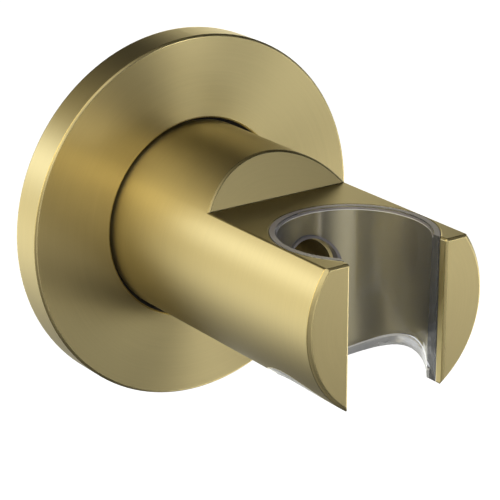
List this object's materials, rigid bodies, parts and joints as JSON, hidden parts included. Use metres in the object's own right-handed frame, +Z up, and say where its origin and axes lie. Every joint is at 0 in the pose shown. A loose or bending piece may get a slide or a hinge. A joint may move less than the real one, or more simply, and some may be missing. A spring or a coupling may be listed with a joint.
{
  "type": "hand shower holder",
  "caption": "Wall holder for a hand shower: a thick round bar with a milled flat and a slotted cup with a clear liner, on a round rosette.",
  "frame": {"origin": "centre of the wall face, on the bar's axis: the plane of the rosette's and the wall plate's back faces", "axes": "+Z up along the cup's axis, +Y into the wall, -Y out into the room along the bar, +X to the right when facing the wall"},
  "size_m": [0.06, 0.0574, 0.06],
  "materials": {
    "brushed_brass": "fine circular brushing, satin",
    "raw_brass": "plain turned",
    "clear_plastic": "clear, polished",
    "black_rubber": "matt",
    "grey_foam": "closed-cell foam, matt",
    "stainless_steel": "turned, satin"
  },
  "bodies": {
    "root": {"holder_body": "brushed_brass", "rosette": "brushed_brass", "cup_liner": "clear_plastic", "bar_ring": "black_rubber", "wall_gasket": "grey_foam", "wall_plate": "raw_brass", "upper_dowel_pin": "stainless_steel", "lower_dowel_pin": "stainless_steel", "clamp_screw": "stainless_steel", "plain_washer": "stainless_steel", "spring_washer": "stainless_steel"}
  },
  "joints": []
}
